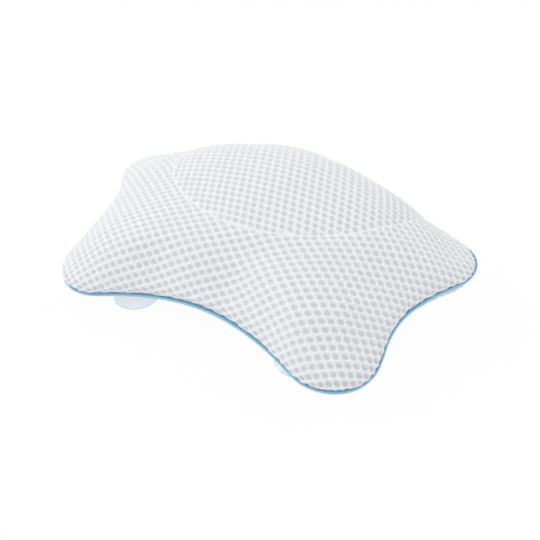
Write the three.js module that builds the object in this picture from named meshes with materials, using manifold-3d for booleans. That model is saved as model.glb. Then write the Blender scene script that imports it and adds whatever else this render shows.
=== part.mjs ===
// A butterfly-shaped bath pillow of white air mesh with sky-blue piping, standing on six suction cups.
// Millimetres, +Z up. The origin is on the floor below the middle of the pillow: +X is to the sitter's
// right seen from the front, -Y is the front edge with the shoulder lobes, and the cup rims lie at z = 0.
import * as THREE from 'three';
import { mergeVertices } from 'three/addons/utils/BufferGeometryUtils.js';
import Module from 'manifold-3d';

// Plan of the cover: four round lobes joined by arcs that are tangent to them
const coverWidth = 375;
const lowerLobeSpan = 313;
const lobeSpacing = 133;
const upperLobeRadius = 40;
const lowerLobeRadius = 39;
const frontValleyRadius = 242;
const sideValleyRadius = 126;
const backRadius = 308;

// Swelling of the stuffed cover above the seam, and the domed head panel sewn into its back half
const swellSetBack = 95;
const bodyHeight = 70;
const crownReach = 216;
const crownPower = 5.8;
const sidePower = 1.16;
const headSeamRadius = 128;
const headSetBack = 206;
const headRise = 15.5;
const wingFall = 0.215;

// Height of the piped seam above its lowest level, at the middle of each valley and at the lobe tips
const frontLift = 12;
const sideLift = 20;
const upperTipLift = 26;
const backLift = 6;
const curlWidth = 44;

// Cloth and trim
const coverThickness = 4;
const lipDepth = 1.4;
const basePanelThickness = 4;
const pipingRadius = 1.75;
const clearance = 0.3;

// Suction cups and the round patches that hold them
const cupRadius = 21.5;
const cupHeight = 13;
const cupWall = 1.8;
const cupRimWidth = 1.2;
const cupCrownRadius = 6;
const hollowShoulder = 12.6;
const bellShoulder = 15.5;
const bellShoulderHeight = 10.7;
const neckRadius = 4;
const knobOverhang = 2.5;
const patchRadius = 15;
const patchThickness = 1.5;
const lowerCupInset = 30;
const upperCupInset = 20;
const backCupInset = 42;
const frontCupInset = 58;

// Steps of the faceted surfaces
const arcSteps = { front: 6, lowerLobe: 8, side: 6, upperLobe: 7, back: 7 };
const rimRings = 4;
const rimCrowding = 1.5;
const rimBandShare = 0.6;
const innerRings = 4;
const pipingSides = 8;
const cupSides = 20;
const cupCurveSteps = 4;
const seamSides = 72;

const wasm = await Module();
wasm.setup();

// Levels from the floor up
const patchLevel = cupHeight + clearance;
const baseLevel = patchLevel + patchThickness + clearance;
const baseTop = baseLevel + basePanelThickness;
const coverLevel = baseTop + clearance;

// Outline: lobe centres, and the arcs between them
const upperLobeOut = coverWidth / 2 - upperLobeRadius;
const depthToUpper = Math.sqrt((backRadius - upperLobeRadius) ** 2 - upperLobeOut ** 2);
const coverDepth = lowerLobeRadius + lobeSpacing - depthToUpper + backRadius;
const frontEdge = -coverDepth / 2;
const lowerLobe = new THREE.Vector2(lowerLobeSpan / 2 - lowerLobeRadius, frontEdge + lowerLobeRadius);
const upperLobe = new THREE.Vector2(upperLobeOut, lowerLobe.y + lobeSpacing);
const backCentre = new THREE.Vector2(0, upperLobe.y - depthToUpper);
const frontReach = frontValleyRadius + lowerLobeRadius;
const frontCentre = new THREE.Vector2(0, lowerLobe.y - Math.sqrt(frontReach ** 2 - lowerLobe.x ** 2));
const sideCentre = tangentCentre(lowerLobe, sideValleyRadius + lowerLobeRadius,
  upperLobe, sideValleyRadius + upperLobeRadius);
const swellCentre = new THREE.Vector2(0, frontEdge + swellSetBack);
const headCentre = new THREE.Vector2(0, frontEdge + headSetBack);
const rim = outlinePoints();

// The point at the given distances from two centres, on the right of the line from the first to the second.
function tangentCentre(a, reachA, b, reachB) {
  const line = b.clone().sub(a);
  const gap = line.length();
  const along = (reachA ** 2 - reachB ** 2 + gap ** 2) / (2 * gap);
  const aside = Math.sqrt(reachA ** 2 - along ** 2);
  line.normalize();
  return new THREE.Vector2(a.x + line.x * along + line.y * aside, a.y + line.y * along - line.x * aside);
}

function bearing(from, to) {
  return Math.atan2(to.y - from.y, to.x - from.x);
}

// One arc of the outline, with the side of it that faces out: 1 on a lobe, -1 in a valley.
function outlineArc(centre, radius, startAngle, endAngle, facing, steps) {
  const points = [];
  for (let i = 0; i <= steps; i++) {
    const angle = startAngle + (endAngle - startAngle) * i / steps;
    const out = new THREE.Vector2(Math.cos(angle), Math.sin(angle));
    points.push({ at: out.clone().multiplyScalar(radius).add(centre), normal: out.multiplyScalar(facing) });
  }
  return { points, length: radius * Math.abs(endAngle - startAngle) };
}

// The whole outline, anticlockwise from the middle of the front valley, with the seam's lift at each point.
function outlinePoints() {
  const front = outlineArc(frontCentre, frontValleyRadius, Math.PI / 2, bearing(frontCentre, lowerLobe),
    -1, arcSteps.front);
  const lower = outlineArc(lowerLobe, lowerLobeRadius, bearing(lowerLobe, frontCentre),
    bearing(lowerLobe, sideCentre), 1, arcSteps.lowerLobe);
  const side = outlineArc(sideCentre, sideValleyRadius, bearing(sideCentre, lowerLobe) + 2 * Math.PI,
    bearing(sideCentre, upperLobe), -1, arcSteps.side);
  const upper = outlineArc(upperLobe, upperLobeRadius, bearing(upperLobe, sideCentre),
    bearing(backCentre, upperLobe), 1, arcSteps.upperLobe);
  const back = outlineArc(backCentre, backRadius, bearing(backCentre, upperLobe), Math.PI / 2,
    1, arcSteps.back);
  const arcs = [front, lower, side, upper, back];

  const lowerTip = front.length + lower.length / 2;
  const sideMiddle = front.length + lower.length + side.length / 2;
  const upperTip = sideMiddle + side.length / 2 + upper.length / 2;
  const backMiddle = upperTip + upper.length / 2 + back.length;
  const lifts = [[0, frontLift], [lowerTip, 0], [sideMiddle, sideLift], [upperTip, upperTipLift],
    [backMiddle, backLift]];

  const right = [];
  let passed = 0;
  for (const arc of arcs) {
    const steps = arc.points.length - 1;
    arc.points.slice(0, arc === back ? undefined : steps).forEach((point, i) => {
      right.push({ ...point, lift: easedLift(lifts, passed + arc.length * i / steps) });
    });
    passed += arc.length;
  }
  const left = right.slice(1, -1).reverse().map(({ at, normal, lift }) => (
    { at: new THREE.Vector2(-at.x, at.y), normal: new THREE.Vector2(-normal.x, normal.y), lift }));
  return [...right, ...left].map(point => {
    const ray = point.at.clone().sub(swellCentre);
    return { ...point, ray, reach: ray.dot(point.normal) };
  });
}

// The lift at a distance along the outline, eased between the named heights on either side of it.
function easedLift(lifts, distance) {
  const next = Math.max(1, lifts.findIndex(([place]) => place >= distance));
  const [start, low] = lifts[next - 1];
  const [end, high] = lifts[next];
  return low + (high - low) * (1 - Math.cos(Math.PI * (distance - start) / (end - start))) / 2;
}

// How much of the rim's lift is left at a distance in from the rim.
function curl(inFromRim) {
  return Math.max(0, 1 - inFromRim / curlWidth) ** 2;
}

// Height of the swollen cover above the base panel, away from its rim: domed inside the head seam, and falling
// by wingFall for each millimetre outside it.
function fullness(at) {
  const fromHead = at.distanceTo(headCentre);
  const dome = Math.max(0, 1 - (fromHead / headSeamRadius) ** 2) ** 2;
  return bodyHeight + headRise * dome - wingFall * Math.max(0, fromHead - headSeamRadius);
}

// Rings of the swelling: each gives, for a point of the rim, its share of the way out from the centre.
const fillInset = coverThickness + clearance;
const insetRing = inFromRim => point => 1 - inFromRim / point.reach;
const rimBand = point => Math.min(curlWidth, rimBandShare * point.reach);
const innerShares = Array.from({ length: innerRings - 1 }, (_, i) => (
  point => (i + 1) / innerRings * insetRing(rimBand(point))(point)));
const rimShares = Array.from({ length: rimRings + 1 }, (_, i) => point => {
  const crowded = ((rimRings - i) / rimRings) ** rimCrowding;
  return insetRing(fillInset + (rimBand(point) - fillInset) * crowded)(point);
});

function ringPoint(point, share) {
  return point.ray.clone().multiplyScalar(share).add(swellCentre);
}

// The share of the way out that sets the height: near the crown the lobes give way to a round swelling.
function rounded(share, point) {
  return share * (1 + (point.ray.length() / crownReach - 1) * (1 - share) ** 2);
}

// A ring on the swollen surface that lies the given inset inside the cover's outer surface.
function swellRing(share, inset) {
  return rim.map(point => {
    const out = share(point);
    const at = ringPoint(point, out);
    const ownShare = Math.min(1, out / (1 - inset / point.reach));
    const swell = (1 - rounded(ownShare, point) ** crownPower) ** (1 / sidePower);
    const seat = coverLevel + point.lift * curl((1 - out) * point.reach);
    return new THREE.Vector3(at.x, at.y, seat + (fullness(at) - inset) * swell);
  });
}

// A ring at a level of the base panel, which curls up with the rim.
function baseRing(share, level) {
  return rim.map(point => {
    const out = share(point);
    const at = ringPoint(point, out);
    return new THREE.Vector3(at.x, at.y, level + point.lift * curl((1 - out) * point.reach));
  });
}

function centrePoint(level) {
  return new THREE.Vector3(swellCentre.x, swellCentre.y, level);
}

function meshGeometry(vertices, faces) {
  const geometry = new THREE.BufferGeometry();
  geometry.setAttribute('position', new THREE.Float32BufferAttribute(vertices.flatMap(v => v.toArray()), 3));
  geometry.setIndex(faces.flat());
  return geometry;
}

// A closed body lofted through rings, from a top centre out over the rim and back to a bottom centre.
// The four-sided facets are split alike on every sheet, mirrored left to right, so that sheets on each
// other match.
function loftedBody(top, rings, bottom) {
  const count = rim.length;
  const faces = [];
  for (let j = 0; j < count; j++) {
    const next = (j + 1) % count;
    faces.push([0, 1 + j, 1 + next]);
    for (let k = 0; k < rings.length - 1; k++) {
      const near = 1 + k * count;
      const far = near + count;
      const outward = rings[k + 1][0].distanceTo(top) > rings[k][0].distanceTo(top);
      const onRight = j < count / 2;
      if (outward === onRight) {
        faces.push([near + j, far + j, near + next], [near + next, far + j, far + next]);
      } else {
        faces.push([near + j, far + j, far + next], [near + j, far + next, near + next]);
      }
    }
    const last = 1 + (rings.length - 1) * count;
    faces.push([last + j, last + count, last + next]);
  }
  return meshGeometry([top, ...rings.flat(), bottom], faces);
}

// Booleans
function solid(geometry) {
  const bare = geometry.clone();
  bare.deleteAttribute('normal');
  bare.deleteAttribute('uv');
  const merged = mergeVertices(bare);
  return new wasm.Manifold(new wasm.Mesh({
    numProp: 3,
    vertProperties: new Float32Array(merged.attributes.position.array),
    triVerts: new Uint32Array(merged.index.array),
  }));
}

function geometryOf(body) {
  const { vertProperties, triVerts, numProp } = body.getMesh();
  const geometry = new THREE.BufferGeometry();
  const positions = [];
  for (let i = 0; i < vertProperties.length; i += numProp) positions.push(...vertProperties.slice(i, i + 3));
  geometry.setAttribute('position', new THREE.Float32BufferAttribute(positions, 3));
  geometry.setIndex([...triVerts]);
  return geometry;
}

const cutHeight = 2 * (coverLevel + bodyHeight + headRise + upperTipLift);
const cutReach = coverWidth + coverDepth;

function uprightCylinder(centre, radius, sides) {
  const cylinder = new THREE.CylinderGeometry(radius, radius, cutHeight, sides);
  return solid(cylinder.rotateX(Math.PI / 2).translate(centre.x, centre.y, 0));
}

// A block that fills one quarter of the plan beyond the dividing lines, less half a clearance on each.
function quarterBlock(sideSign, backSign) {
  const block = new THREE.BoxGeometry(cutReach, cutReach, cutHeight);
  const offset = (cutReach + clearance) / 2;
  return solid(block.translate(sideSign * offset, sideCentreLine + backSign * offset, 0));
}

// Materials
function finish(color, roughness) {
  return new THREE.MeshStandardMaterial({ color, roughness, metalness: 0 });
}
const airMesh = () => finish(0xf4f5f7, 0.85);
const pipingBlue = () => finish(0x8dbedc, 0.6);
const fibre = () => finish(0xfbfbf8, 0.95);
const clearVinyl = () => finish(0xd8e4f0, 0.2);
const patchCloth = () => finish(0xf0f1f2, 0.7);

const bathPillow = new THREE.Group();

function addPart(name, geometry, material) {
  const mesh = new THREE.Mesh(geometry, material);
  mesh.name = name;
  bathPillow.add(mesh);
  return mesh;
}

// Cover: one swollen shell, cut along the curved seam into the wing panel and the domed head panel
function coverShell() {
  const shares = [...innerShares, ...rimShares];
  const outer = [...shares, insetRing(lipDepth), insetRing(0)].map(share => swellRing(share, 0));
  const liningShares = [...shares.slice(0, -1), insetRing(coverThickness)];
  const inner = liningShares.map(share => swellRing(share, coverThickness));
  const crown = coverLevel + fullness(swellCentre);
  return loftedBody(centrePoint(crown), [...outer, ...inner.reverse()], centrePoint(crown - coverThickness));
}

const headCut = uprightCylinder(headCentre, headSeamRadius - clearance / 2, seamSides);
const wingCut = uprightCylinder(headCentre, headSeamRadius + clearance / 2, seamSides);
const shell = solid(coverShell());
addPart('head_panel', geometryOf(shell.intersect(headCut)), airMesh());
addPart('wing_panel', geometryOf(shell.subtract(wingCut)), airMesh());

// Filling: a domed wad behind the head panel and one wad pushed into each lobe
function fillBody() {
  const top = [...innerShares, ...rimShares].map(share => swellRing(share, fillInset));
  const under = rimShares.slice(0, -1).map(share => baseRing(share, coverLevel)).reverse();
  const crown = coverLevel + fullness(swellCentre) - fillInset;
  return loftedBody(centrePoint(crown), [...top, ...under], centrePoint(coverLevel));
}

const sideCentreLine = (lowerLobe.y + upperLobe.y) / 2;
const fill = solid(fillBody());
const wingFill = fill.subtract(wingCut);
addPart('head_fill', geometryOf(fill.intersect(headCut)), fibre());
for (const [backName, backSign] of [['lower', -1], ['upper', 1]]) {
  for (const [sideName, sideSign] of [['left', -1], ['right', 1]]) {
    const wad = wingFill.intersect(quarterBlock(sideSign, backSign));
    addPart(`${backName}_${sideName}_fill`, geometryOf(wad), fibre());
  }
}

// Cups: two under the lower lobes, two under the upper lobes and two on the centre line
const frontValley = frontCentre.y + frontValleyRadius;
const backEdge = backCentre.y + backRadius;
const cupPlaces = {
  lower_left: new THREE.Vector2(lowerCupInset - lowerLobe.x, lowerLobe.y),
  lower_right: new THREE.Vector2(lowerLobe.x - lowerCupInset, lowerLobe.y),
  upper_left: new THREE.Vector2(upperCupInset - upperLobe.x, upperLobe.y),
  upper_right: new THREE.Vector2(upperLobe.x - upperCupInset, upperLobe.y),
  front: new THREE.Vector2(0, frontValley + frontCupInset),
  back: new THREE.Vector2(0, backEdge - backCupInset),
};

const eyeletRadius = neckRadius + clearance;
const knobRadius = neckRadius + knobOverhang;
const knobHeight = basePanelThickness - 2 * clearance;
const knobHole = knobRadius + 2 * clearance;

// Base panel, with a hole over each cup for the knob of its stem
function basePanel() {
  const shares = [...rimShares, insetRing(0)];
  const top = shares.map(share => baseRing(share, baseTop));
  const under = shares.map(share => baseRing(share, baseLevel)).reverse();
  return loftedBody(centrePoint(baseTop), [...top, ...under], centrePoint(baseLevel));
}

const base = Object.values(cupPlaces).reduce(
  (panel, place) => panel.subtract(uprightCylinder(place, knobHole, cupSides)), solid(basePanel()));
addPart('base_panel', geometryOf(base), airMesh());

// Piping: a round cord sewn along the rim, on the line between the base panel and the cover
function pipingRing() {
  const offset = pipingRadius + clearance;
  const vertices = rim.flatMap(({ at, normal, lift }) => Array.from({ length: pipingSides }, (_, i) => {
    const angle = 2 * Math.PI * (i + 0.5) / pipingSides;
    const out = offset + pipingRadius * Math.cos(angle);
    const level = baseTop + clearance / 2 + lift + pipingRadius * Math.sin(angle);
    return new THREE.Vector3(at.x + normal.x * out, at.y + normal.y * out, level);
  }));
  const faces = [];
  rim.forEach((_, j) => {
    const near = j * pipingSides;
    const far = (j + 1) % rim.length * pipingSides;
    for (let i = 0; i < pipingSides; i++) {
      const next = (i + 1) % pipingSides;
      faces.push([near + i, far + i, far + next], [near + i, far + next, near + next]);
    }
  });
  return meshGeometry(vertices, faces);
}

addPart('edge_piping', pipingRing(), pipingBlue());

// One cup: a hollow bell on a flat rim, with a neck through the patch and a knob that holds it there
function suctionCup() {
  const rimInside = cupRadius - cupRimWidth;
  const hollowHeight = cupHeight - 2 * cupWall;
  const knobLevel = patchLevel + patchThickness + clearance;
  const profile = new THREE.Path();
  profile.moveTo(0, hollowHeight);
  profile.quadraticCurveTo(hollowShoulder, hollowHeight, rimInside, 0);
  profile.lineTo(cupRadius, 0);
  profile.lineTo(cupRadius, cupRimWidth);
  profile.quadraticCurveTo(bellShoulder, bellShoulderHeight, cupCrownRadius, cupHeight);
  profile.lineTo(neckRadius, cupHeight);
  profile.lineTo(neckRadius, knobLevel);
  profile.lineTo(knobRadius, knobLevel);
  profile.lineTo(knobRadius, knobLevel + knobHeight / 2);
  profile.quadraticCurveTo(knobRadius, knobLevel + knobHeight, 0, knobLevel + knobHeight);
  return new THREE.LatheGeometry(profile.getPoints(cupCurveSteps), cupSides).rotateX(Math.PI / 2);
}

// One patch: a disc of cloth with an eyelet, sewn flat under the base panel
function cupPatch() {
  const disc = new THREE.Shape().absarc(0, 0, patchRadius, 0, 2 * Math.PI);
  disc.holes.push(new THREE.Path().absarc(0, 0, eyeletRadius, 0, 2 * Math.PI));
  return new THREE.ExtrudeGeometry(disc, {
    depth: patchThickness,
    bevelEnabled: false,
    curveSegments: cupSides / 2,
  });
}

for (const [place, at] of Object.entries(cupPlaces)) {
  addPart(`suction_cup_${place}`, suctionCup(), clearVinyl()).position.set(at.x, at.y, 0);
  addPart(`cup_patch_${place}`, cupPatch(), patchCloth()).position.set(at.x, at.y, patchLevel);
}

export default bathPillow;
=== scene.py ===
"""Looks of a butterfly-shaped bath pillow: a stuffed cover of white air mesh with a domed head panel,
sky-blue piping round its edge, fibre inside, and clear vinyl suction cups held by sewn patches underneath."""
import math

import bmesh
import bpy
import numpy as np
from mathutils import Matrix, Vector
from mathutils.bvhtree import BVHTree
from mathutils.geometry import interpolate_bezier
from mathutils.kdtree import KDTree


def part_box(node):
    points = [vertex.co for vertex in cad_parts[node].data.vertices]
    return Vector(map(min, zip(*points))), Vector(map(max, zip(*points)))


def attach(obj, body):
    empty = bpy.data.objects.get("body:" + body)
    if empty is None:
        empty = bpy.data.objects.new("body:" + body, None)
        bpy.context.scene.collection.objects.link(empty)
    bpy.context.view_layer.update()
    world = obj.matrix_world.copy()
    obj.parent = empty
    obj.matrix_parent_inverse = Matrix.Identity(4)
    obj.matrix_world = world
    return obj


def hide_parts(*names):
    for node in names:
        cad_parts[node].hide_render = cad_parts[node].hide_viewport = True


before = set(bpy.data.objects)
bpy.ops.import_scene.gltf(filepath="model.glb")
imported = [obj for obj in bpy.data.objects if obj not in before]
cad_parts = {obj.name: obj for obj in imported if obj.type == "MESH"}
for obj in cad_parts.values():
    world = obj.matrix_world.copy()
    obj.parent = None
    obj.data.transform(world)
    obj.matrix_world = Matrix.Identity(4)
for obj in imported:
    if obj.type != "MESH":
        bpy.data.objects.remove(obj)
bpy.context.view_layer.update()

# Places of the cups and their patches, wads of fibre, panels of the cover, and the reach of a doubled point
MM = 0.001
PLACES = ("lower_left", "lower_right", "upper_left", "upper_right", "front", "back")
WADS = ("head", "lower_left", "lower_right", "upper_left", "upper_right")
PANELS = ("head", "wing", "base")
MERGE = 0.01 * MM

# The cover's skin before it swells: remeshed from the solids, with the base's knob holes plugged
BASE_THICKNESS = 4 * MM
PLUG_RADIUS = 9 * MM
PLUG_SIDES = 24
SKIN_VOXEL = 4 * MM
SKIN_SMOOTHING = 14
RIM_CLEARANCE = 0.3 * MM
RIM_SHARP = 16 * MM
RIM_HOLD = 3 * MM
SEAM_HOLD = 5 * MM
SEAM_HOLD_WEIGHT = 0.3
SLACK = 4 * MM
SLACK_FADE = 30 * MM

# The cloth's roll over its piping, which lessens and then stops as the rim turns to face back
ROLL = 8 * MM
ROLL_PEAK = 6.5 * MM
ROLL_END = 50 * MM
BACK_ROLL = 0.55
BACK_ROLL_PEAK = 5 * MM
BACK_ROLL_END = 20 * MM
BACK_TURN = (-0.4, 0.6)  # how far the rim faces back: 1 is straight back
BACK_STOP = (0.8, 0.92)

# The head's fullness, the crease in the front and the sag of the base's edge
HEAD_FULL = 4.4 * MM
HEAD_EDGE = 50 * MM
HEAD_SPREAD = 40 * MM
CREASE = 10 * MM
CREASE_AT = 22 * MM  # to the right of the middle
CREASE_WIDTH = 30 * MM
CREASE_FADE = 25 * MM
SAG = 3.5 * MM
SAG_PEAK = 6 * MM
SAG_END = 22 * MM
SAG_FROM = 33 * MM  # the rim's height where the sag starts
SAG_FULL = 43 * MM  # and where it is full
SAG_SLOPE = 0.7  # out and down alike

# The cloth simulation, and what evens out its result
PRESSURE = 4.0
FABRIC_MASS = 0.05
FABRIC_STIFFNESS = 2.0
FABRIC_SHEAR = 1.0
FABRIC_BENDING = 0.05
FABRIC_EASE = 0.04
HOLD_LEAST = 0.01  # a point held less than this is free
SIM_FRAMES = 20
SIM_QUALITY = 3
SWELL_CAP = 6 * MM
SWELL_SMOOTHING = 24
EVENING = 0.5  # a point's share of the way to its neighbours' mean

# The panels that the skin is cut into
BORDER_MERGE = 0.3 * SKIN_VOXEL
RELAX_ROUNDS = 12
ABOVE_ALL = 1.0  # a height over the whole pillow
SUBDIVISIONS = {"head": 2, "wing": 2, "base": 1}
FLAT_SPAN = 0.6  # metres of flat cloth in the UV map's width
FLATTEN_ROUNDS = 400
WING_GRAIN = math.radians(88)
HEAD_GRAIN = math.radians(59)
GRAINS = {"head": HEAD_GRAIN, "wing": WING_GRAIN, "base": WING_GRAIN}
SEAM_SINK = 0.7 * MM
SEAM_WIDTH = 4 * MM
HEM_DEPTH = 3 * MM
KNOB_HOLE = 7.1 * MM
KNOB_HOLE_REACH = 1.5 * KNOB_HOLE
SAME_PLACE_DIGITS = 6

# Air mesh: staggered oval holes along the cloth's grain, with a floor and a welt at shares of their radius
GRAIN_PITCH = 8.6 * MM
ROW_PITCH = 5.95 * MM
HOLE_ALONG = 5.4 * MM
HOLE_ACROSS = 7.6 * MM
HOLE_MIDDLE = 0.001  # keeps a division by the distance off zero
HOLE_FLOOR = 0.5
HOLE_DEPTH = 1.6 * MM
EDGE_DEPTH = 0.8  # how much deeper the holes are beside the piping
EDGE_FULL = 7 * MM
EDGE_END = 14 * MM
WELT_FOOT = 0.8
WELT_TOP = 1.05
WELT_END = 1.4
WELT_HEIGHT = 0.3 * MM
SELVAGE = 1.4 * MM
RIM_SELVAGE = 0.8 * MM
SELVAGE_START = 0.2  # share of a selvage that has no holes at all

# Fibre wads, kept under the cloth
WAD_VOXEL = 6 * MM
WAD_SMOOTHING = 12
WAD_INSET = 10 * MM

# Piping: edges that run along the CAD piping are over LONG_EDGE times as long as those round it
LONG_EDGE = 1.5
PIPING_ROUNDNESS = 4
CORD_SHARE = 0.97  # of the CAD piping's radius
ROUTE_STEPS = 12
HANDLE_PARTS = 6

# Suction cup, in mm: the hollow under its bell, the lip of its rim, the bell, the neck and the knob
TURN_STEPS = 64
HOLLOW_TOP = 9.4
HOLLOW_BEND = 12.6
LIP_WIDTH = 1.2
LIP_HEIGHT = 0.25
LIP_HEEL = 0.9
LIP_FOOT = 0.5
CUP_ROUND = 0.6
BELL_BEND = (15.5, 10.2)
BELL_TOP = (6, 12.6)
NECK_RADIUS = 4
NECK_BEND = 12.9
NECK_FOOT = 13.8
NECK_TOP = 14.8
KNOB_RADIUS = 6.5
KNOB_FOOT = 15.2

# Patch, in mm: the binding of its eyelet, its cloth and its hem
EYELET = 4.35
EYELET_ROUND = 0.5
BINDING_ROUND = 0.7
BINDING_BEND = 1.6
BINDING_WIDTH = 1.7
BINDING_LIFT = 0.45
PATCH_CLOTH_LIFT = 0.5
PATCH_HEM = 3
PATCH_HEM_BEND = 2.6
PATCH_HEM_FLAT = 2.2
PATCH_HEM_LIFT = 0.08
PATCH_HEM_BEND_LIFT = 0.1
PATCH_HEM_ROUND = 0.7
PATCH_TOP_ROUND = 0.6

# Stitches of a patch
STITCHES = 28
STITCH_RADIUS = 12.9 * MM
STITCH_LENGTH = 2.0 * MM
STITCH_WIDTH = 0.7 * MM
STITCH_RISE = STITCH_WIDTH / 3
STITCH_BED = 0.05 * MM
STITCH_SIDES = 8
STITCH_RINGS = 5

# Studio: half the floor's width, its glow in view, the sky's light, and each lamp's place, width and power
FLOOR_HALF = 6
FLOOR_GLOW = 0.96
SKY_LIGHT = 0.71
LAMPS = {
    "key": ((-1.2, -0.35, 1.0), 0.6, 6.3),
    "fill": ((0.8, -1.4, 1.2), 1.4, 4.5),
    "rim": ((0.7, 1.1, 1.0), 0.8, 3.8),
}

# Camera, fitted to the photo, whose scale is in pixels to a metre at the aim
CAMERA_AZIMUTH = math.radians(30.36)
CAMERA_ELEVATION = math.radians(37.21)
CAMERA_AIM = Vector((20.56, -23.63, 28.28)) * MM
CAMERA_DISTANCE = 713.1 * MM
CAMERA_NEAR = 0.01
SENSOR_WIDTH = 36
PHOTO_WIDTH = 540
PHOTO_SCALE = 1.079 / MM

# Sockets of a Mix node that mixes colours
MIX_LOW = 6
MIX_HIGH = 7
MIX_COLOUR = 2


class Wire:
    """An output socket of a node tree. Arithmetic on wires adds Math nodes."""

    def __init__(self, tree, socket=None):
        self.tree = tree
        self.socket = socket

    def node(self, kind, settings, inputs, output=0):
        """Adds a node of a kind, with its settings, and with a value or a wire for each named input."""
        made = self.tree.nodes.new(kind)
        for name, value in settings.items():
            setattr(made, name, value)
        for key, value in inputs.items():
            if isinstance(value, Wire):
                self.tree.links.new(value.socket, made.inputs[key])
            else:
                made.inputs[key].default_value = value
        return Wire(self.tree, made.outputs[output] if made.outputs else None)

    def math(self, operation, *values):
        return self.node("ShaderNodeMath", {"operation": operation}, dict(enumerate(values)))

    def __add__(self, other):
        return self.math("ADD", self, other)

    def __radd__(self, other):
        return self.math("ADD", other, self)

    def __sub__(self, other):
        return self.math("SUBTRACT", self, other)

    def __rsub__(self, other):
        return self.math("SUBTRACT", other, self)

    def __mul__(self, other):
        return self.math("MULTIPLY", self, other)

    def __rmul__(self, other):
        return self.math("MULTIPLY", other, self)

    def mixed(self, low, high):
        """A colour that runs from low to high as this wire runs from 0 to 1."""
        settings = {"data_type": "RGBA", "clamp_factor": True}
        return self.node("ShaderNodeMix", settings, {0: self, MIX_LOW: low, MIX_HIGH: high}, MIX_COLOUR)


def new_material(name):
    """An empty node material, and a wire to start its nodes from."""
    material = bpy.data.materials.new(name)
    material.use_nodes = True
    tree = material.node_tree
    tree.nodes.clear()
    return material, Wire(tree)


def surface(wire, **sockets):
    """Ends a material in a Principled shader. Names have underscores for spaces."""
    inputs = {name.replace("_", " "): value for name, value in sockets.items()}
    shader = wire.node("ShaderNodeBsdfPrincipled", {}, inputs)
    wire.node("ShaderNodeOutputMaterial", {}, {"Surface": shader})


def object_place(wire):
    return wire.node("ShaderNodeTexCoord", {}, {}, "Object")


def attribute(wire, name):
    return wire.node("ShaderNodeAttribute", {"attribute_name": name}, {}, "Fac")


def noise(wire, place, size, detail=2.0, roughness=0.5):
    """Soft noise with blotches of a size."""
    inputs = {"Vector": place, "Scale": 1 / size, "Detail": detail, "Roughness": roughness}
    return wire.node("ShaderNodeTexNoise", {}, inputs)


def bands(wire, place, direction, size, distortion=0.0, detail=2.0):
    """Waves of a size across a direction."""
    inputs = {"Vector": place, "Scale": 1 / size, "Distortion": distortion, "Detail": detail}
    return wire.node("ShaderNodeTexWave", {"bands_direction": direction}, inputs)


def bump(wire, height, distance, strength):
    return wire.node("ShaderNodeBump", {}, {"Height": height, "Distance": distance, "Strength": strength})


def eased(wire, value, low, high):
    """A wire that eases from 0 to 1 as a value runs from low to high."""
    settings = {"interpolation_type": "SMOOTHSTEP"}
    return wire.node("ShaderNodeMapRange", settings, {"Value": value, "From Min": low, "From Max": high})


def mesh_pattern(wire, flat):
    """How deep in a hole of the mesh a flat place of the cloth lies, how high on the welt beside it, and how
    free it is of a sewn edge."""
    across, along = (wire.node("ShaderNodeSeparateXYZ", {}, {0: flat}, axis) for axis in (0, 1))
    offsets = []
    for shift in (0, 0.5):
        column = across * (1 / (2 * ROW_PITCH)) + shift
        place = along * (1 / GRAIN_PITCH) + shift
        out = (column - wire.math("ROUND", column)) * (4 * ROW_PITCH / HOLE_ACROSS)
        up = (place - wire.math("ROUND", place)) * (2 * GRAIN_PITCH / HOLE_ALONG)
        offsets.append((out, wire.math("SQRT", out * out + up * up)))
    (out_here, here), (out_there, there) = offsets
    out = out_there + (out_here - out_there) * wire.math("LESS_THAN", here, there)
    far = wire.math("MINIMUM", here, there)
    sewn_free = attribute(wire, "open")
    depth = (1 - eased(wire, far, HOLE_FLOOR, 1)) * sewn_free
    ring = eased(wire, far, WELT_FOOT, WELT_TOP) * (1 - eased(wire, far, WELT_TOP, WELT_END))
    # the welt keeps to one side of each hole: its height is a real low ridge, its white in air_mesh a painted
    # highlight
    welt = ring * eased(wire, wire.math("DIVIDE", out, far), 0, 1) * sewn_free
    return depth, welt, sewn_free


def air_mesh():
    """White knitted spacer mesh with a grid of oval holes, a low welt of yarn at one side of each with a
    painted highlight in white on it, and fine loops of yarn between them."""
    yarn_dull = (0.84, 0.86, 0.89, 1)
    yarn_bright = (0.91, 0.93, 0.96, 1)
    sewn_strip = (0.96, 0.97, 0.98, 1)
    hole_grey = (0.73, 0.745, 0.775, 1)
    painted_highlight_white = (0.985, 0.99, 0.995, 1)
    loop_size = 0.9 * MM
    fuzz_size = 0.5 * MM
    blotch_size = 40 * MM
    material, wire = new_material("air_mesh")
    uv = wire.node("ShaderNodeUVMap", {"uv_map": "flat"}, {})
    flat = wire.node("ShaderNodeMapping", {}, {"Vector": uv, "Scale": (FLAT_SPAN, FLAT_SPAN, FLAT_SPAN)})
    depth, welt, sewn_free = mesh_pattern(wire, flat)
    loops = wire.node("ShaderNodeTexVoronoi", {}, {"Vector": flat, "Scale": 1 / loop_size})
    fuzz = noise(wire, flat, fuzz_size, detail=3.0)
    tone = noise(wire, flat, blotch_size)
    yarn = (tone * 0.6 + fuzz * 0.4).mixed(yarn_dull, yarn_bright)
    cloth = sewn_free.mixed(sewn_strip, yarn)
    # the holes' grey is partly the inner layer seen through them and partly painted shade in their recess
    ground = depth.mixed(cloth, hole_grey)
    height = (1 - loops) * 0.6 + fuzz * 0.4 + welt * 0.8 - depth
    # the welt's white is a painted highlight on one side of each hole
    surface(wire, Base_Color=welt.mixed(ground, painted_highlight_white), Roughness=0.82 + fuzz * 0.12,
            Normal=bump(wire, height, distance=0.3 * MM, strength=0.75),
            Sheen_Weight=0.25, Sheen_Roughness=0.5, Specular_IOR_Level=0.3)
    return material


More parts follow.
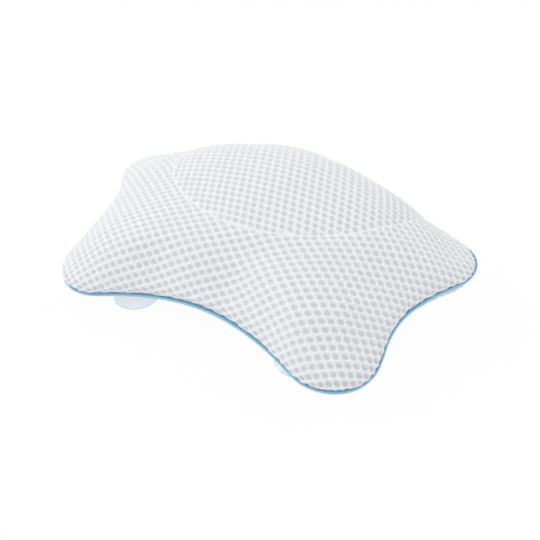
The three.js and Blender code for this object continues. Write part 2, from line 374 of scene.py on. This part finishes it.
def blue_piping():
    """Sky-blue woven tape over a cord, with a fine slanting twill, painted shade making it darker on top and
    painted light making it paler underneath.
    """
    painted_shade_blue = (0.15, 0.4, 0.61, 1)
    tape_deep = (0.25, 0.53, 0.74, 1)
    tape_light = (0.38, 0.67, 0.86, 1)
    painted_underlight_blue = (0.52, 0.78, 0.93, 1)
    top_fade = (0.04, 0.2)
    under_fade = (0.4, 0.75)
    twill_size = 2.6 * MM
    blotch_size = 14 * MM
    material, wire = new_material("blue_piping")
    place = object_place(wire)
    twill = bands(wire, place, "DIAGONAL", twill_size, distortion=1.5, detail=1.0)
    tone = noise(wire, place, blotch_size, detail=3.0)
    shade = twill * 0.35 + tone * 0.65
    under = attribute(wire, "under")
    tape = shade.mixed(tape_deep, tape_light)
    # painted shade darkens the cord's top, where the cloth rolls over it, and painted light from the floor
    # brightens its underside
    side = eased(wire, under, *top_fade).mixed(painted_shade_blue, tape)
    colour = eased(wire, under, *under_fade).mixed(side, painted_underlight_blue)
    surface(wire, Base_Color=colour, Roughness=0.62 + tone * 0.15,
            Normal=bump(wire, twill, distance=0.2 * MM, strength=0.5),
            Sheen_Weight=0.2, Specular_IOR_Level=0.35)
    return material


def fibre_fill():
    """Loose white polyester fibre."""
    clump_dull = (0.84, 0.84, 0.82, 1)
    clump_bright = (0.93, 0.93, 0.92, 1)
    strand_size = 2.5 * MM
    clump_size = 25 * MM
    material, wire = new_material("fibre_fill")
    place = object_place(wire)
    strands = noise(wire, place, strand_size, detail=6.0, roughness=0.7)
    clumps = noise(wire, place, clump_size)
    surface(wire, Base_Color=clumps.mixed(clump_dull, clump_bright), Roughness=0.9 + strands * 0.1,
            Normal=bump(wire, strands, distance=1.5 * MM, strength=0.8), Sheen_Weight=0.4)
    return material


def clear_vinyl():
    """Clear glossy soft vinyl with the faint flow marks of moulding."""
    vinyl_blue = (0.82, 0.88, 0.95, 1)
    vinyl_pale = (0.9, 0.94, 0.98, 1)
    flow_size = 9 * MM
    material, wire = new_material("clear_vinyl")
    flow = noise(wire, object_place(wire), flow_size)
    surface(wire, Base_Color=flow.mixed(vinyl_blue, vinyl_pale), Roughness=0.06 + flow * 0.1,
            Normal=bump(wire, flow, distance=0.3 * MM, strength=0.25), IOR=1.45, Transmission_Weight=0.9)
    return material


def patch_cloth():
    """Plain white woven polyester."""
    cloth_dull = (0.8, 0.81, 0.83, 1)
    cloth_bright = (0.9, 0.905, 0.91, 1)
    thread_size = 3.4 * MM
    blotch_size = 8 * MM
    material, wire = new_material("patch_cloth")
    place = object_place(wire)
    warp = bands(wire, place, "X", thread_size)
    weft = bands(wire, place, "Y", thread_size)
    tone = noise(wire, place, blotch_size, detail=3.0)
    threads = warp * 0.5 + weft * 0.5
    colour = (tone * 0.6 + threads * 0.4).mixed(cloth_dull, cloth_bright)
    surface(wire, Base_Color=colour, Roughness=0.75 + tone * 0.15,
            Normal=bump(wire, threads, distance=0.2 * MM, strength=0.6), Sheen_Weight=0.15)
    return material


def new_piece(name, form, *materials):
    """A mesh object of a bmesh, which it frees."""
    mesh = bpy.data.meshes.new(name)
    form.to_mesh(mesh)
    form.free()
    piece = bpy.data.objects.new(name, mesh)
    bpy.context.scene.collection.objects.link(piece)
    for material in materials:
        mesh.materials.append(material)
    mesh.shade_smooth()
    return piece


def apply_modifiers(piece):
    """Keeps a piece's modified mesh as its own, with no modifier left."""
    graph = bpy.context.evaluated_depsgraph_get()
    finished = bpy.data.meshes.new_from_object(piece.evaluated_get(graph))
    piece.modifiers.clear()
    piece.data = finished


def places_of(mesh):
    """The vertices' places as an array with a row for each."""
    values = np.empty(len(mesh.vertices) * 3)
    mesh.vertices.foreach_get("co", values)
    return values.reshape(-1, 3)


def normals_of(mesh):
    """The vertices' normals as an array with a row for each."""
    values = np.empty(len(mesh.vertices) * 3)
    mesh.vertex_normals.foreach_get("vector", values)
    return values.reshape(-1, 3)


def set_places(mesh, places):
    mesh.vertices.foreach_set("co", places.ravel())
    mesh.update()


def edge_ends(mesh):
    """The two vertices of each edge, as an array with a row for each edge."""
    values = np.empty(len(mesh.edges) * 2, dtype=int)
    mesh.edges.foreach_get("vertices", values)
    return values.reshape(-1, 2)


def corner_owners(mesh):
    """The vertex of each face corner."""
    owners = np.empty(len(mesh.loops), dtype=int)
    mesh.loops.foreach_get("vertex_index", owners)
    return owners


def add_attribute(mesh, name, values):
    """Gives each vertex of a mesh a value under a name."""
    mesh.attributes.new(name, "FLOAT", "POINT").data.foreach_set("value", values)


def smoothstep(low, high, value):
    share = np.clip((value - low) / (high - low), 0, 1)
    return share * share * (3 - 2 * share)


def evened(mesh, values, share, rounds):
    """Rows of values at a mesh's points, evened out along its edges in rounds, by a share at each point."""
    first, second = edge_ends(mesh).T
    neighbours = np.bincount(np.concatenate((first, second)), minlength=len(values))[:, None]
    for _ in range(rounds):
        total = np.zeros_like(values)
        np.add.at(total, first, values[second])
        np.add.at(total, second, values[first])
        values = values + (total / neighbours - values) * share[:, None]
    return values


def remeshed(piece, voxel):
    modifier = piece.modifiers.new("remesh", "REMESH")
    modifier.mode = "VOXEL"
    modifier.voxel_size = voxel
    apply_modifiers(piece)


def cad_copy(*nodes):
    """One bmesh with copies of CAD nodes, their doubled vertices merged."""
    form = bmesh.new()
    for node in nodes:
        form.from_mesh(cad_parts[node].data)
    bmesh.ops.remove_doubles(form, verts=form.verts, dist=MERGE)
    return form


def middle(node):
    low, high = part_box(node)
    return (low + high) / 2


# The round seam of the head panel, in plan: as wide as the panel, with its front end at the panel's front
head_low, head_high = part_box("head_panel")
SEAM_RADIUS = (head_high.x - head_low.x) / 2
SEAM_CENTRE = Vector(((head_low.x + head_high.x) / 2, head_low.y + SEAM_RADIUS))


def seam_gap(places):
    """How far points are from the head panel's round seam in plan: negative inside it."""
    return np.hypot(places[:, 0] - SEAM_CENTRE.x, places[:, 1] - SEAM_CENTRE.y) - SEAM_RADIUS


def separate_parts(form):
    """The vertices' places in each part of a bmesh that hangs together by edges, in the bmesh's own order."""
    parts = []
    found = set()
    for first in form.verts:
        if first in found:
            continue
        found.add(first)
        part = [first]
        # the list grows while it is walked
        for vert in part:
            for edge in vert.link_edges:
                other = edge.other_vert(vert)
                if other not in found:
                    found.add(other)
                    part.append(other)
        parts.append([vert.co.copy() for vert in part])
    return parts


def piping_route():
    """A smooth closed line through the centres of the CAD piping's sections, and the piping's radius."""
    form = cad_copy("edge_piping")
    shortest = min(edge.calc_length() for edge in form.edges)
    long_edges = [edge for edge in form.edges if edge.calc_length() > LONG_EDGE * shortest]
    bmesh.ops.delete(form, geom=long_edges, context="EDGES_FACES")
    sections = separate_parts(form)
    form.free()
    centres = [sum(section, Vector()) / len(section) for section in sections]
    radius = max((place - centres[0]).length for place in sections[0])
    centres.sort(key=lambda centre: math.atan2(centre.y, centre.x))
    # a handle is a sixth of the way between a centre's neighbours, so that the curve runs on evenly
    points = []
    for index, start in enumerate(centres):
        before, end, after = (centres[(index + step) % len(centres)] for step in (-1, 1, 2))
        handles = start + (end - before) / HANDLE_PARTS, end - (after - start) / HANDLE_PARTS
        points += interpolate_bezier(start, *handles, end, ROUTE_STEPS + 1)[:-1]
    return points, radius


def make_piping(route, radius):
    """A cord along the route, closed on itself."""
    curve = bpy.data.curves.new("piping_route", "CURVE")
    curve.dimensions = "3D"
    curve.bevel_depth = radius * CORD_SHARE
    curve.bevel_resolution = PIPING_ROUNDNESS
    spline = curve.splines.new("POLY")
    spline.points.add(len(route) - 1)
    spline.use_cyclic_u = True
    for point, place in zip(spline.points, route):
        point.co = (*place, 1)
    guide = bpy.data.objects.new("piping_route", curve)
    bpy.context.scene.collection.objects.link(guide)
    graph = bpy.context.evaluated_depsgraph_get()
    form = bmesh.new()
    form.from_mesh(guide.evaluated_get(graph).to_mesh())
    bpy.data.objects.remove(guide)
    bmesh.ops.remove_doubles(form, verts=form.verts, dist=MERGE)
    bmesh.ops.recalc_face_normals(form, faces=form.faces)
    piece = new_piece("piping", form, blue_piping())
    # 0 where the cord faces up, 1 where it faces down, which sets its painted shade on top and painted light
    # underneath
    add_attribute(piece.data, "under", 0.5 - normals_of(piece.data)[:, 2] / 2)
    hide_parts("edge_piping")
    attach(piece, "pillow")


class Rim:
    """The line where the cover meets its piping, and the way out of the pillow at each of its points."""

    def __init__(self, route, inset):
        self.outward = []
        self.tree = KDTree(len(route))
        for index, centre in enumerate(route):
            along = route[(index + 1) % len(route)] - route[index - 1]
            outward = Vector((along.y, -along.x, 0)).normalized()
            self.outward.append(outward)
            self.tree.insert(centre - outward * inset, index)
        self.tree.balance()

    def nearest(self, place):
        return self.tree.find(place)[0]

    def measured(self, places):
        """For each place, how far the line is, how far above it the place is, and the way out there."""
        found = [self.tree.find(place) for place in places]
        gaps = np.array([gap for _, _, gap in found])
        levels = np.array([point.z for point, _, _ in found])
        outward = np.array([self.outward[index] for _, index, _ in found])
        return gaps, places[:, 2] - levels, outward


def plugged_solids():
    """The cover's and the fill's CAD solids in one bmesh, with the base's knob holes filled."""
    form = cad_copy("head_panel", "wing_panel", "base_panel", *(f"{wad}_fill" for wad in WADS))
    base_low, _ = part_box("base_panel")
    for place in PLACES:
        centre = middle(f"cup_patch_{place}")
        centre.z = base_low.z + BASE_THICKNESS / 2
        bmesh.ops.create_cone(form, cap_ends=True, segments=PLUG_SIDES, radius1=PLUG_RADIUS,
                              radius2=PLUG_RADIUS, depth=BASE_THICKNESS, matrix=Matrix.Translation(centre))
    return form


def roll_out(rim_gap, outward):
    """How far the cloth rolls out over its piping: less so to the back, and not at all at the very back."""
    facing_back = outward[:, 1]
    backward = smoothstep(*BACK_TURN, facing_back)
    peak = ROLL_PEAK + (BACK_ROLL_PEAK - ROLL_PEAK) * backward
    end = ROLL_END + (BACK_ROLL_END - ROLL_END) * backward
    most = ROLL * (1 + (BACK_ROLL - 1) * backward) * (1 - smoothstep(*BACK_STOP, facing_back))
    return most * smoothstep(0, peak, rim_gap) * (1 - smoothstep(peak, end, rim_gap))


def head_fullness(rim_gap, past_seam):
    """How far the head panel stands out, and the cloth round it a little."""
    return HEAD_FULL * smoothstep(-HEAD_SPREAD, HEAD_EDGE, -past_seam) * smoothstep(0, SLACK_FADE, rim_gap)


def front_crease(places, rim_gap, past_seam):
    """How deep the front folds in, in a soft crease near its middle."""
    depth = CREASE / (1 + ((places[:, 0] - CREASE_AT) / CREASE_WIDTH) ** 2)
    depth = depth * smoothstep(0, CREASE_FADE, past_seam) * smoothstep(0, CREASE_FADE, rim_gap)
    return depth * (places[:, 1] < SEAM_CENTRE.y)


def base_sag(places, rim_gap, above):
    """How far the base sags below the piping, where the rim is high."""
    sag = SAG * smoothstep(0, SAG_PEAK, rim_gap) * (1 - smoothstep(SAG_PEAK, SAG_END, rim_gap)) * (above <= 0)
    return sag * smoothstep(SAG_FROM, SAG_FULL, places[:, 2] - above)


def stuffed_skin(rim):
    """The whole cover as one closed skin, swollen by the pressure of the stuffing and held at its seams."""
    skin = new_piece("skin", plugged_solids())
    remeshed(skin, SKIN_VOXEL)
    places = places_of(skin.data)
    rim_gap, above, outward = rim.measured(places)
    places = evened(skin.data, places, EVENING * smoothstep(0, RIM_SHARP, rim_gap), SKIN_SMOOTHING)
    set_places(skin.data, places)
    past_seam = seam_gap(places)
    free = smoothstep(0, RIM_HOLD, rim_gap) * (above > 0)
    sewn = 1 - smoothstep(0, SEAM_HOLD, np.abs(past_seam))
    slack = SLACK * smoothstep(0, SLACK_FADE, rim_gap) * free
    roll = roll_out(rim_gap, outward) * free
    head = head_fullness(rim_gap, past_seam) * free
    crease = front_crease(places, rim_gap, past_seam) * free
    sag = base_sag(places, rim_gap, above)
    start = places + normals_of(skin.data) * (head - slack - crease)[:, None] + outward * roll[:, None]
    start += (outward * SAG_SLOPE - np.array((0, 0, SAG_SLOPE))) * sag[:, None]
    set_places(skin.data, start)
    held = np.maximum(1 - free, SEAM_HOLD_WEIGHT * sewn)
    moved = inflate(skin, held) - start
    reach = np.linalg.norm(moved, axis=1)
    capped = SWELL_CAP * np.tanh(reach / SWELL_CAP)
    moved = moved * (capped / np.maximum(reach, MERGE))[:, None]
    set_places(skin.data, start + evened(skin.data, moved, EVENING * free, SWELL_SMOOTHING))
    return skin


def inflate(skin, held):
    """Runs a cloth simulation with pressure inside, and gives where the skin's points end."""
    group = skin.vertex_groups.new(name="held")
    for index, weight in enumerate(held):
        if weight > HOLD_LEAST:
            group.add([index], float(weight), "REPLACE")
    cloth = skin.modifiers.new("swell", "CLOTH")
    fabric = cloth.settings
    fabric.vertex_group_mass = group.name
    fabric.quality = SIM_QUALITY
    fabric.mass = FABRIC_MASS
    fabric.tension_stiffness = fabric.compression_stiffness = FABRIC_STIFFNESS
    fabric.shear_stiffness = FABRIC_SHEAR
    fabric.bending_stiffness = FABRIC_BENDING
    fabric.shrink_min = -FABRIC_EASE
    fabric.use_pressure = True
    fabric.uniform_pressure_force = PRESSURE
    fabric.effector_weights.gravity = 0
    cloth.point_cache.frame_start = 1
    cloth.point_cache.frame_end = SIM_FRAMES
    scene = bpy.context.scene
    for step in range(1, SIM_FRAMES + 1):
        scene.frame_set(step)
    graph = bpy.context.evaluated_depsgraph_get()
    swollen = places_of(skin.evaluated_get(graph).data)
    skin.modifiers.clear()
    skin.vertex_groups.clear()
    scene.frame_set(1)
    return swollen


def relax(mesh):
    """Evens out the spacing of a skin's points beside its borders, without moving them off the skin."""
    on_border = np.empty(len(mesh.vertices), dtype=np.int32)
    mesh.attributes["border"].data.foreach_get("value", on_border)
    share = EVENING * (1 - on_border)
    for _ in range(RELAX_ROUNDS):
        places = places_of(mesh)
        normals = normals_of(mesh)
        step = evened(mesh, places, share, 1) - places
        step -= normals * np.sum(step * normals, axis=1)[:, None]
        set_places(mesh, places + step)


def panel_at(place, rim):
    """The number of the panel that a place of the skin belongs to."""
    if place.z < rim.nearest(place).z:
        return PANELS.index("base")
    if (place.xy - SEAM_CENTRE).length < SEAM_RADIUS:
        return PANELS.index("head")
    return PANELS.index("wing")


def cut_panels(skin, rim):
    """Cuts the skin along its seam and its rim into head, wing and base panels."""
    form = bmesh.new()
    form.from_mesh(skin.data)
    panel_of = form.faces.layers.int.new("panel")
    on_border = form.verts.layers.int.new("border")
    tree = BVHTree.FromBMesh(form)
    for face in form.faces:
        face[panel_of] = panel_at(face.calc_center_median(), rim)
    border = []
    for vert in form.verts:
        around = {face[panel_of] for face in vert.link_faces}
        if len(around) == 1:
            continue
        border.append(vert)
        vert[on_border] = 1
        if PANELS.index("base") in around:
            vert.co = rim.nearest(vert.co)
        else:
            outward = (vert.co.xy - SEAM_CENTRE).normalized()
            seam = SEAM_CENTRE + outward * SEAM_RADIUS
            vert.co = tree.ray_cast(Vector((seam.x, seam.y, ABOVE_ALL)), Vector((0, 0, -1)))[0]
    bmesh.ops.remove_doubles(form, verts=border, dist=BORDER_MERGE)
    form.to_mesh(skin.data)
    relax(skin.data)
    form.clear()
    form.from_mesh(skin.data)
    bpy.data.objects.remove(skin)
    panels = {}
    for number, kind in enumerate(PANELS):
        panel = form.copy()
        layer = panel.faces.layers.int["panel"]
        others = [face for face in panel.faces if face[layer] != number]
        bmesh.ops.delete(panel, geom=others, context="FACES")
        panels[kind] = new_piece(f"{kind}_cover", panel)
    form.free()
    return panels


def settle(ends, wanted, guess):
    """Flat places of points whose steps along edges come closest to the wanted ones, by conjugate
    gradients."""
    first, second = ends.T

    def gathered(steps):
        total = np.zeros_like(guess)
        np.add.at(total, second, steps)
        np.subtract.at(total, first, steps)
        return total

    flat = guess.copy()
    residual = gathered(wanted - (flat[second] - flat[first]))
    way = residual.copy()
    power = np.sum(residual * residual)
    for _ in range(FLATTEN_ROUNDS):
        pulled = gathered(way[second] - way[first])
        share = power / np.sum(way * pulled)
        flat += share * way
        residual -= share * pulled
        new_power = np.sum(residual * residual)
        way = residual + way * (new_power / power)
        power = new_power
    return flat


def flatten(panel, facing, grain):
    """Lays a panel out flat in a UV map, as it was cut, with the cloth's lengths kept: U across its grain and
    V along it, the grain's angle being the plan's. Facing is 1 for a panel seen from above and -1 for one
    seen from below."""
    mesh = panel.data
    places = places_of(mesh)
    ends = edge_ends(mesh)
    step = places[ends[:, 1]] - places[ends[:, 0]]
    normals = normals_of(mesh) * facing
    upright = normals[ends[:, 0]] + normals[ends[:, 1]]
    upright /= np.linalg.norm(upright, axis=1)[:, None]
    # the plan's axes, turned with the cloth from level to its slope
    leant = upright + (0, 0, 1)
    wanted = np.empty((len(ends), 2))
    for axis in (0, 1):
        cloth_axis = np.eye(3)[axis] - leant * (upright[:, axis] / leant[:, 2])[:, None]
        wanted[:, axis] = np.sum(step * cloth_axis, axis=1)
    flat = settle(ends, wanted, places[:, :2].copy())
    flat += places[:, :2].mean(axis=0) - flat.mean(axis=0)
    across_grain = np.array((math.sin(grain), -math.cos(grain)))
    along_grain = np.array((math.cos(grain), math.sin(grain)))
    cut = np.stack((flat @ across_grain, flat @ along_grain), axis=1)
    layer = mesh.uv_layers.new(name="flat")
    layer.data.foreach_set("uv", (0.5 + cut[corner_owners(mesh)] / FLAT_SPAN).ravel())


def flat_places(mesh):
    """Where a flattened panel's vertices lie on the flat cloth."""
    corners = np.empty(len(mesh.loops) * 2)
    mesh.uv_layers["flat"].data.foreach_get("uv", corners)
    cut = np.empty((len(mesh.vertices), 2))
    cut[corner_owners(mesh)] = corners.reshape(-1, 2) * FLAT_SPAN
    return cut


def mesh_relief(cut):
    """The mesh's pattern at flat places of the cloth, as mesh_pattern has it: the depth in its holes, and the
    height of their welts."""
    offsets = []
    for shift in (0, 0.5):
        column = cut[:, 0] / (2 * ROW_PITCH) + shift
        place = cut[:, 1] / GRAIN_PITCH + shift
        out = (column - np.round(column)) * (4 * ROW_PITCH / HOLE_ACROSS)
        up = (place - np.round(place)) * (2 * GRAIN_PITCH / HOLE_ALONG)
        offsets.append((out, np.hypot(out, up)))
    (out_here, here), (out_there, there) = offsets
    out = np.where(here < there, out_here, out_there)
    far = np.maximum(np.minimum(here, there), HOLE_MIDDLE)
    ring = smoothstep(WELT_FOOT, WELT_TOP, far) * (1 - smoothstep(WELT_TOP, WELT_END, far))
    return 1 - smoothstep(HOLE_FLOOR, 1, far), ring * smoothstep(0, 1, out / far)


def weave(panel, kind, rim):
    """Subdivides a panel and presses the holes of its mesh into it, up to its sewn edges."""
    modifier = panel.modifiers.new("fine", "SUBSURF")
    modifier.levels = modifier.render_levels = SUBDIVISIONS[kind]
    apply_modifiers(panel)
    mesh = panel.data
    places = places_of(mesh)
    normals = normals_of(mesh)
    rim_gap, _, _ = rim.measured(places)
    # the base has no seam of the head in it
    to_seam = np.full(len(places), np.inf) if kind == "base" else np.abs(seam_gap(places))
    off_selvage = smoothstep(SELVAGE_START * SELVAGE, SELVAGE, to_seam)
    sewn_free = off_selvage * smoothstep(SELVAGE_START * RIM_SELVAGE, RIM_SELVAGE, rim_gap)
    depth, welt = mesh_relief(flat_places(mesh))
    # the holes gape where the cloth bends over the piping
    gape = 1 + EDGE_DEPTH * (1 - smoothstep(EDGE_FULL, EDGE_END, rim_gap))
    relief = (depth * gape * HOLE_DEPTH - welt * WELT_HEIGHT) * sewn_free
    off_seam = smoothstep(0, SEAM_WIDTH, to_seam)
    sink = SEAM_SINK * (1 - off_seam) * smoothstep(0, SEAM_WIDTH, rim_gap)
    # both panels go straight down at the seam, so that they stay together there
    outward = normals * off_seam[:, None] + np.array((0, 0, 1)) * (1 - off_seam)[:, None]
    set_places(mesh, places - outward * (relief + sink)[:, None])
    add_attribute(mesh, "open", sewn_free)


def open_knob_holes(panel):
    """Cuts a round hole in the base panel over the knob of each cup."""
    form = bmesh.new()
    form.from_mesh(panel.data)
    centres = [middle(f"cup_patch_{place}").xy for place in PLACES]
    inside = [face for face in form.faces
              if min((face.calc_center_median().xy - centre).length for centre in centres) < KNOB_HOLE]
    bmesh.ops.delete(form, geom=inside, context="FACES")
    for vert in form.verts:
        for centre in centres:
            out = vert.co.xy - centre
            if vert.is_boundary and out.length < KNOB_HOLE_REACH:
                vert.co.xy = centre + out.normalized() * KNOB_HOLE
    form.to_mesh(panel.data)
    form.free()


def place_key(vert):
    return tuple(round(value, SAME_PLACE_DIGITS) for value in vert.co)


def turn_hems(panel):
    """Turns a panel's raw edges in under it."""
    form = bmesh.new()
    form.from_mesh(panel.data)
    form.normal_update()
    edges = [edge for edge in form.edges if edge.is_boundary]
    inward = {place_key(vert): -vert.normal for edge in edges for vert in edge.verts}
    turned = bmesh.ops.extrude_edge_only(form, edges=edges)["geom"]
    for item in turned:
        if isinstance(item, bmesh.types.BMVert):
            item.co += inward[place_key(item)] * HEM_DEPTH
    bmesh.ops.recalc_face_normals(form, faces=form.faces)
    form.to_mesh(panel.data)
    form.free()
    panel.data.shade_smooth()


def make_cover(route, radius):
    """Makes the stuffed cover's three panels."""
    rim = Rim(route, radius + RIM_CLEARANCE)
    panels = cut_panels(stuffed_skin(rim), rim)
    cloth = air_mesh()
    for kind, panel in panels.items():
        flatten(panel, -1 if kind == "base" else 1, GRAINS[kind])
        weave(panel, kind, rim)
        if kind == "base":
            open_knob_holes(panel)
        turn_hems(panel)
        panel.data.materials.append(cloth)
        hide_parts(f"{kind}_panel")
        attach(panel, "pillow")


def make_wad(wad, fibre):
    """One wad of fibre, a little smaller than its CAD solid so that it stays under the cloth."""
    piece = new_piece(f"{wad}_wad", cad_copy(f"{wad}_fill"))
    remeshed(piece, WAD_VOXEL)
    places = places_of(piece.data)
    set_places(piece.data, evened(piece.data, places, np.full(len(places), EVENING), WAD_SMOOTHING))
    set_places(piece.data, places_of(piece.data) - normals_of(piece.data) * WAD_INSET)
    piece.data.materials.append(fibre)
    piece.data.shade_smooth()
    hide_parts(f"{wad}_fill")
    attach(piece, "pillow")


def bow(profile, bend, end, steps):
    """Carries a profile on from its last point, along a quadratic curve with a bend and an end."""
    start = profile[-1]
    for step in range(1, steps + 1):
        share = step / steps
        profile.append(tuple((1 - share) ** 2 * a + 2 * share * (1 - share) * b + share ** 2 * c
                             for a, b, c in zip(start, bend, end)))


def spun(profile, centre, closed):
    """A bmesh turned about an upright axis through centre, from profile points (radius, height) in mm."""
    form = bmesh.new()
    verts = [form.verts.new((centre.x + radius * MM, centre.y, height * MM)) for radius, height in profile]
    ends = zip(verts, verts[1:] + verts[:1]) if closed else zip(verts, verts[1:])
    edges = [form.edges.new(pair) for pair in ends]
    bmesh.ops.spin(form, geom=verts + edges, cent=(centre.x, centre.y, 0), axis=(0, 0, 1),
                   angle=2 * math.pi, steps=TURN_STEPS, use_merge=True)
    bmesh.ops.remove_doubles(form, verts=form.verts, dist=MERGE)
    bmesh.ops.recalc_face_normals(form, faces=form.faces)
    return form


def make_cup(place, vinyl):
    """A suction cup: a bell with a hollow, a neck through its patch and a knob behind it."""
    node = f"suction_cup_{place}"
    low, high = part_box(node)
    centre = (low + high) / 2
    radius = (high.x - low.x) / 2 / MM
    top = high.z / MM
    profile = [(0, HOLLOW_TOP)]
    bow(profile, (HOLLOW_BEND, HOLLOW_TOP), (radius - LIP_WIDTH, LIP_HEIGHT), steps=14)
    bow(profile, (radius - LIP_HEEL, 0), (radius - LIP_FOOT, 0), steps=3)
    bow(profile, (radius, 0), (radius, CUP_ROUND), steps=4)
    bow(profile, (radius, 2 * CUP_ROUND), (radius - CUP_ROUND, 3 * CUP_ROUND), steps=4)
    bow(profile, BELL_BEND, BELL_TOP, steps=16)
    bow(profile, (NECK_RADIUS, NECK_BEND), (NECK_RADIUS, NECK_FOOT), steps=5)
    profile.append((NECK_RADIUS, NECK_TOP))
    bow(profile, (NECK_RADIUS, KNOB_FOOT), (NECK_RADIUS + CUP_ROUND, KNOB_FOOT), steps=3)
    profile.append((KNOB_RADIUS - CUP_ROUND, KNOB_FOOT))
    bow(profile, (KNOB_RADIUS, KNOB_FOOT), (KNOB_RADIUS, KNOB_FOOT + CUP_ROUND), steps=4)
    bow(profile, (KNOB_RADIUS, top), (0, top), steps=10)
    piece = new_piece(f"cup_{place}", spun(profile, centre, False), vinyl)
    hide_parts(node)
    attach(piece, f"cup_{place}")


def sew_stitches(form, centre, floor):
    """Adds a ring of stitches to a patch, in its face at the height of floor."""
    bed = Matrix.Translation((centre.x, centre.y, floor + STITCH_BED))
    out = Matrix.Translation((STITCH_RADIUS, 0, 0))
    size = Matrix.Diagonal((STITCH_WIDTH / 2, STITCH_LENGTH / 2, STITCH_RISE, 1))
    for number in range(STITCHES):
        turn = Matrix.Rotation(2 * math.pi * number / STITCHES, 4, "Z")
        bmesh.ops.create_uvsphere(form, u_segments=STITCH_SIDES, v_segments=STITCH_RINGS, radius=1,
                                  matrix=bed @ turn @ out @ size)


def make_patch(place, cloth):
    """A round cloth patch with a hem and a bound eyelet, sewn on by a ring of stitches."""
    node = f"cup_patch_{place}"
    low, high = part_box(node)
    centre = (low + high) / 2
    edge = (high.x - low.x) / 2 / MM
    floor = low.z / MM
    hem_face = floor + PATCH_HEM_LIFT
    hem_bend = floor + PATCH_HEM_BEND_LIFT
    top = high.z / MM
    profile = [(EYELET, top - EYELET_ROUND)]
    bow(profile, (EYELET, floor), (EYELET + BINDING_ROUND, floor), steps=5)
    bow(profile, (EYELET + BINDING_BEND, floor), (EYELET + BINDING_WIDTH, floor + BINDING_LIFT), steps=5)
    profile.append((edge - PATCH_HEM, floor + PATCH_CLOTH_LIFT))
    bow(profile, (edge - PATCH_HEM_BEND, hem_bend), (edge - PATCH_HEM_FLAT, hem_face), steps=4)
    profile.append((edge - PATCH_HEM_ROUND, hem_face))
    bow(profile, (edge, hem_bend), (edge, floor + PATCH_HEM_ROUND), steps=4)
    bow(profile, (edge, top), (edge - PATCH_TOP_ROUND, top), steps=4)
    profile.append((EYELET + EYELET_ROUND, top))
    bow(profile, (EYELET, top), (EYELET, top - EYELET_ROUND), steps=3)
    # the profile is closed, so its last point is its first one
    profile.pop()
    form = spun(profile, centre, True)
    sew_stitches(form, centre, low.z)
    piece = new_piece(f"patch_{place}", form, cloth)
    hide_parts(node)
    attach(piece, "pillow")


def studio_floor():
    """A matte floor that glows white to the camera, in reflections and through clear vinyl."""
    matte_white = (0.95, 0.95, 0.95, 1)
    material, wire = new_material("studio_floor")
    kinds = ("Is Camera Ray", "Is Glossy Ray", "Is Transmission Ray")
    direct, glossy, through = (wire.node("ShaderNodeLightPath", {}, {}, kind) for kind in kinds)
    seen = wire.math("MAXIMUM", direct, wire.math("MAXIMUM", glossy, through))
    matte = wire.node("ShaderNodeBsdfDiffuse", {}, {"Color": matte_white})
    glow = wire.node("ShaderNodeEmission", {}, {"Color": (1, 1, 1, 1), "Strength": 1.0})
    mixed = wire.node("ShaderNodeMixShader", {}, {0: seen * FLOOR_GLOW, 1: matte, 2: glow})
    wire.node("ShaderNodeOutputMaterial", {}, {"Surface": mixed})
    form = bmesh.new()
    bmesh.ops.create_grid(form, x_segments=1, y_segments=1, size=FLOOR_HALF)
    floor = new_piece("studio_floor", form, material)


def studio_light():
    """A sky that is white to the camera and dimmer as a light, and three lamps aimed at the pillow."""
    scene = bpy.context.scene
    world = bpy.data.worlds.new("studio")
    world.use_nodes = True
    scene.world = world
    world.node_tree.nodes.clear()
    wire = Wire(world.node_tree)
    direct = wire.node("ShaderNodeLightPath", {}, {}, "Is Camera Ray")
    strength = SKY_LIGHT + direct * (1 - SKY_LIGHT)
    sky = wire.node("ShaderNodeBackground", {}, {"Color": (1, 1, 1, 1), "Strength": strength})
    wire.node("ShaderNodeOutputWorld", {}, {"Surface": sky})
    for name, (place, width, power) in LAMPS.items():
        lamp = bpy.data.lights.new(name, "AREA")
        lamp.size = width
        lamp.energy = power
        holder = bpy.data.objects.new(name, lamp)
        scene.collection.objects.link(holder)
        holder.location = place
        holder.rotation_euler = (-Vector(place)).to_track_quat("-Z", "Y").to_euler()


def camera():
    """The photo's camera."""
    level = math.cos(CAMERA_ELEVATION)
    back = Vector((math.sin(CAMERA_AZIMUTH) * level, -math.cos(CAMERA_AZIMUTH) * level,
                   math.sin(CAMERA_ELEVATION)))
    lens = bpy.data.cameras.new("camera")
    lens.sensor_width = SENSOR_WIDTH
    lens.lens = SENSOR_WIDTH * PHOTO_SCALE * CAMERA_DISTANCE / PHOTO_WIDTH
    lens.clip_start = CAMERA_NEAR
    view = bpy.data.objects.new("camera", lens)
    view.location = CAMERA_AIM + back * CAMERA_DISTANCE
    view.rotation_euler = back.to_track_quat("Z", "Y").to_euler()
    bpy.context.scene.collection.objects.link(view)
    bpy.context.scene.camera = view


bpy.context.scene.view_settings.view_transform = "Standard"
studio_floor()
studio_light()
camera()
route, cord_radius = piping_route()
make_piping(route, cord_radius)
make_cover(route, cord_radius)
wad_fibre = fibre_fill()
for wad in WADS:
    make_wad(wad, wad_fibre)
cup_vinyl = clear_vinyl()
sewn_cloth = patch_cloth()
for place in PLACES:
    make_cup(place, cup_vinyl)
    make_patch(place, sewn_cloth)
